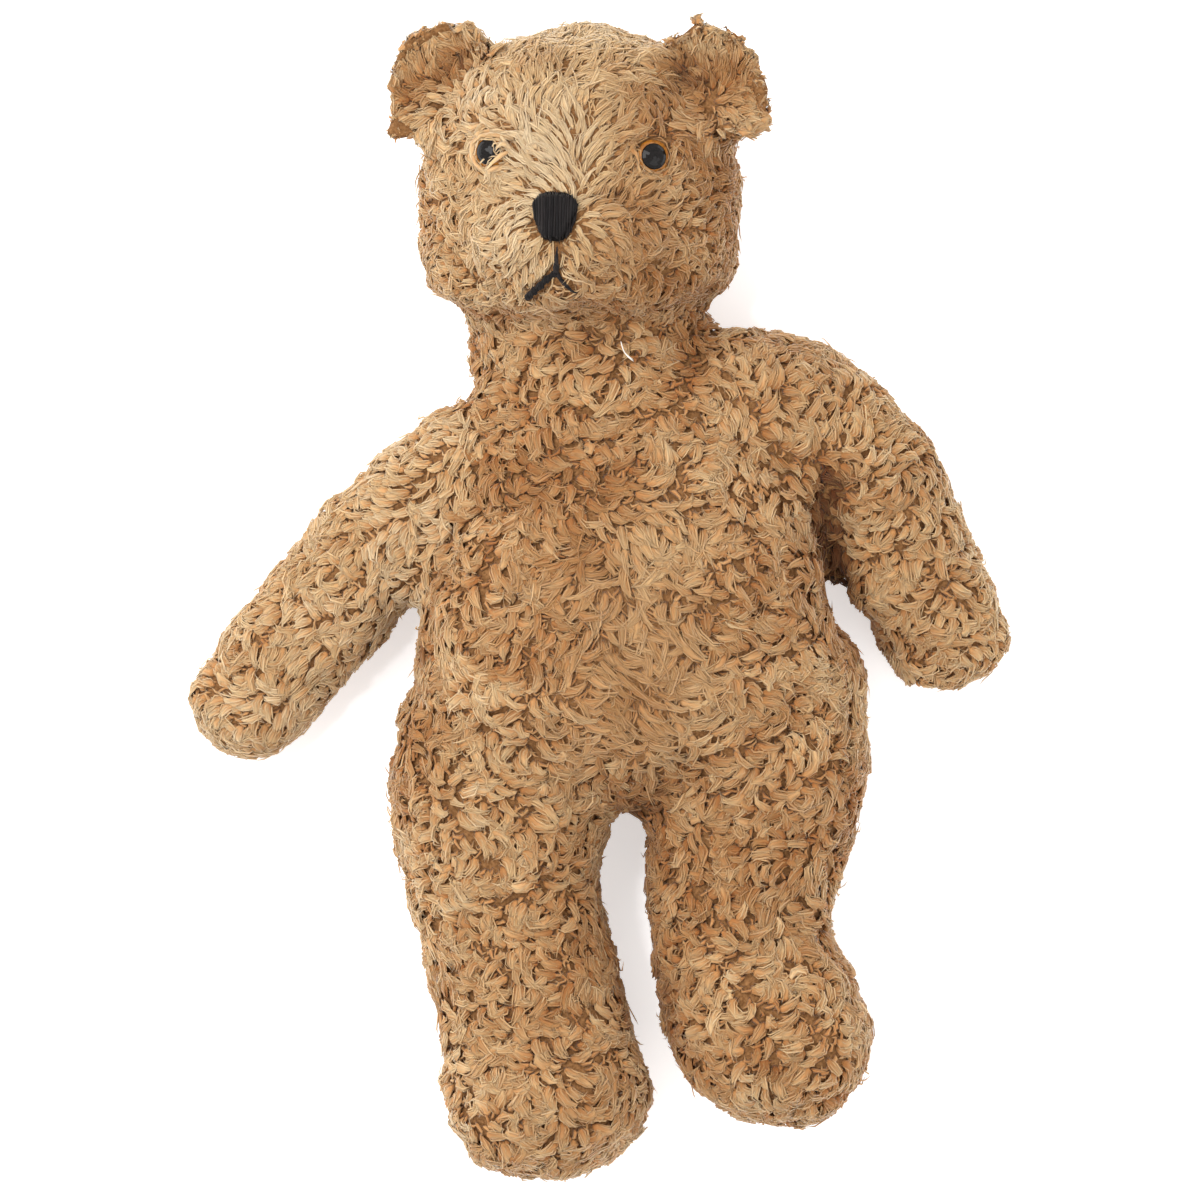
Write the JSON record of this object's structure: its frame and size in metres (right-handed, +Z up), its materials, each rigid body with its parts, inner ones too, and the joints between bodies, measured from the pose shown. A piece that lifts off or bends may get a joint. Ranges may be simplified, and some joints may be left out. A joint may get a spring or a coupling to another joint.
{
  "type": "teddy bear",
  "caption": "Floppy unjointed teddy bear in worn, curly tan plush, lying on its back with its face turned a little aside and its arms out.",
  "frame": {"origin": "middle of the bear's box, on the surface it lies on", "axes": "+Z up out of the chest, +Y from the feet to the head, +X towards the bear's own left side"},
  "size_m": [0.2892, 0.4158, 0.1058],
  "materials": {
    "plush": "curly tan pile on woven backing, darker between the locks, rubbed flat and soiled in patches",
    "wadding": "loose off-white fibre",
    "amber_iris": "clear amber over dark brown, glossy",
    "black_eye": "black, glossy, lightly scratched",
    "nylon": "plain moulded",
    "black_yarn": "black embroidery yarn, worn grey at its high spots"
  },
  "bodies": {
    "root": {"arm_left_back_panel": "plush", "arm_left_front_panel": "plush", "arm_left_stuffing": "wadding", "arm_right_back_panel": "plush", "arm_right_front_panel": "plush", "arm_right_stuffing": "wadding", "ear_left_back_panel": "plush", "ear_left_front_panel": "plush", "ear_right_back_panel": "plush", "ear_right_front_panel": "plush", "eye_left_iris": "amber_iris", "eye_left_pupil_stem": "black_eye", "eye_left_washer": "nylon", "eye_right_iris": "amber_iris", "eye_right_pupil_stem": "black_eye", "eye_right_washer": "nylon", "head_gusset_panel": "plush", "head_left_panel": "plush", "head_right_panel": "plush", "head_stuffing": "wadding", "leg_left_inner_panel": "plush", "leg_left_outer_panel": "plush", "leg_left_stuffing": "wadding", "leg_right_inner_panel": "plush", "leg_right_outer_panel": "plush", "leg_right_stuffing": "wadding", "mouth_centre_stitch": "black_yarn", "mouth_left_stitch": "black_yarn", "mouth_right_stitch": "black_yarn", "nose_patch": "black_yarn", "torso_back_left_panel": "plush", "torso_back_right_panel": "plush", "torso_front_left_panel": "plush", "torso_front_right_panel": "plush", "torso_stuffing": "wadding"}
  },
  "joints": []
}
